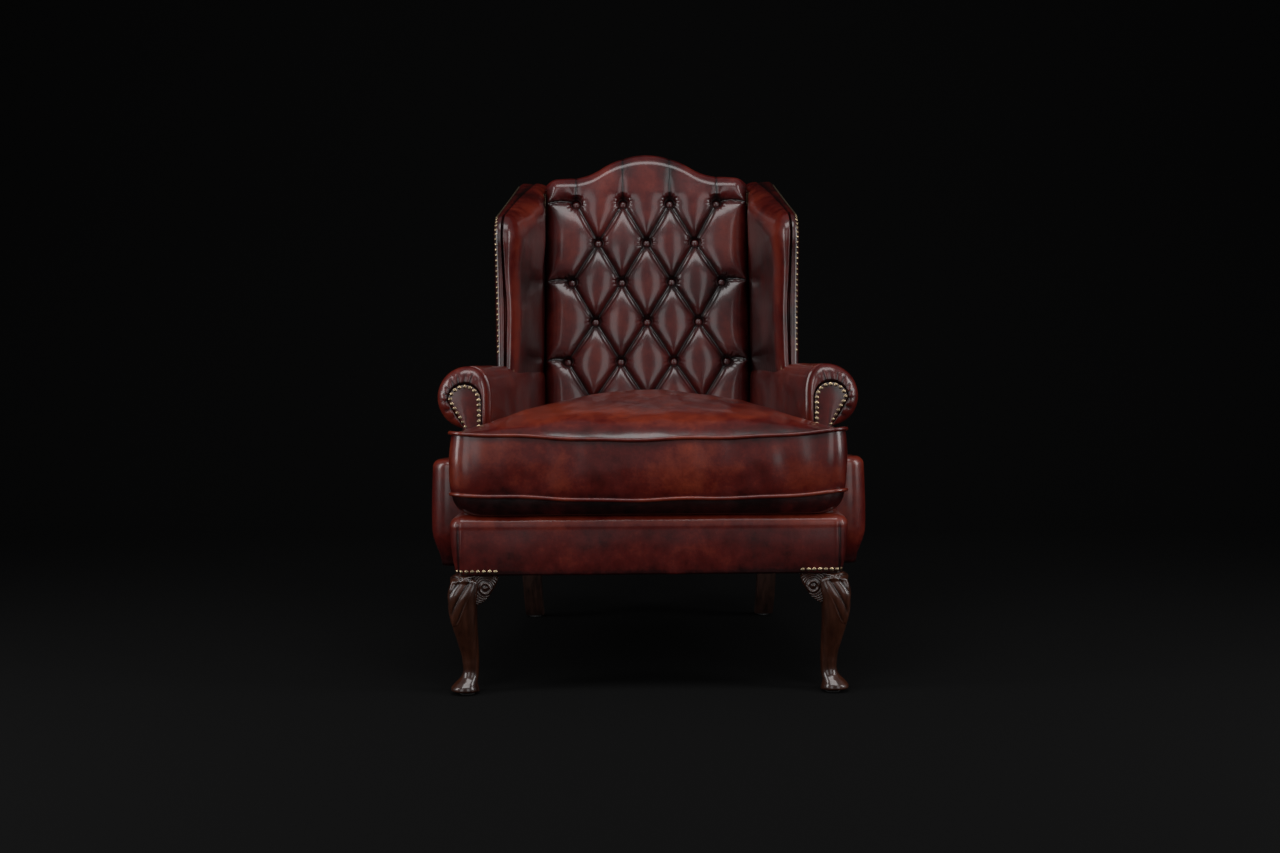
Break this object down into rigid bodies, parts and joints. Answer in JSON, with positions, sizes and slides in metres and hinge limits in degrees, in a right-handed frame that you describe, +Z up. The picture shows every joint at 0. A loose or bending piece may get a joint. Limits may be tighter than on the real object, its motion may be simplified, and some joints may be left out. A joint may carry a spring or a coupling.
{
  "type": "wingback chair",
  "caption": "High-backed wing armchair in deep-buttoned antiqued leather, with scroll arms, a loose T-shaped seat cushion, nailed facings and carved cabriole front legs.",
  "frame": {"origin": "on the floor, under the middle of the chair's bounding box", "axes": "+Z up, -Y towards the front of the seat, +X to the right as seen from the front"},
  "size_m": [0.832, 0.8628, 1.0954],
  "materials": {
    "show_wood": "dark mahogany stain under a satin lacquer, carved",
    "post_wood": "dark mahogany stain under a satin lacquer",
    "frame_wood": "sawn beech, unfinished",
    "glide": "nylon glide",
    "spring_steel": "drawn steel wire, pressed clips and screws",
    "hessian": "jute hessian and webbing",
    "black_cloth": "black dust cloth",
    "deck_cloth": "oxblood deck cloth over cotton felt",
    "twine": "waxed linen twine",
    "leather": "hand-antiqued oxblood hide, glossy, dark in the folds",
    "tufted_leather": "hand-antiqued oxblood hide, deep buttoned, dark in the pleats",
    "cushion_leather": "hand-antiqued oxblood hide with self piping, softly creased",
    "antique_brass": "antiqued brass dome nails"
  },
  "bodies": {
    "chair": {"arm_facing_left": "leather", "arm_facing_right": "leather", "arm_pad_left": "leather", "arm_pad_right": "leather", "arm_rail_left": "frame_wood", "arm_rail_right": "frame_wood", "arm_stump_left": "frame_wood", "arm_stump_right": "frame_wood", "back_buttons": "tufted_leather", "back_nails": "antique_brass", "back_pad": "tufted_leather", "back_rail": "frame_wood", "back_webbing": "hessian", "button_twine": "twine", "corner_blocks": "frame_wood", "corner_screws": "spring_steel", "crest_rail": "frame_wood", "deck_pad": "deck_cloth", "dowels": "frame_wood", "dust_cover": "black_cloth", "facing_nails_left": "antique_brass", "facing_nails_right": "antique_brass", "front_border": "leather", "front_leg_left": "show_wood", "front_leg_right": "show_wood", "front_rail": "frame_wood", "glides": "glide", "knee_blocks": "show_wood", "leg_nails": "antique_brass", "lower_back_rail": "frame_wood", "outside_arm_left": "leather", "outside_arm_right": "leather", "outside_back": "leather", "outside_wing_left": "leather", "outside_wing_right": "leather", "rear_post_left": "post_wood", "rear_post_right": "post_wood", "seat_hessian": "hessian", "seat_springs": "spring_steel", "side_panel_left": "leather", "side_panel_right": "leather", "side_rail_left": "frame_wood", "side_rail_right": "frame_wood", "spring_clips": "spring_steel", "wing_nails_left": "antique_brass", "wing_nails_right": "antique_brass", "wing_pad_left": "leather", "wing_pad_right": "leather", "wing_post_left": "frame_wood", "wing_post_right": "frame_wood", "wing_rail_left": "frame_wood", "wing_rail_right": "frame_wood"},
    "cushion": {"seat_cushion": "cushion_leather", "cushion_piping_top": "cushion_leather", "cushion_piping_bottom": "cushion_leather"}
  },
  "joints": [
    {"name": "cushion_lift", "type": "slide", "parent": "chair", "child": "cushion", "axis": [0, 0, 1], "range_m": [0, 0.3]}
  ]
}
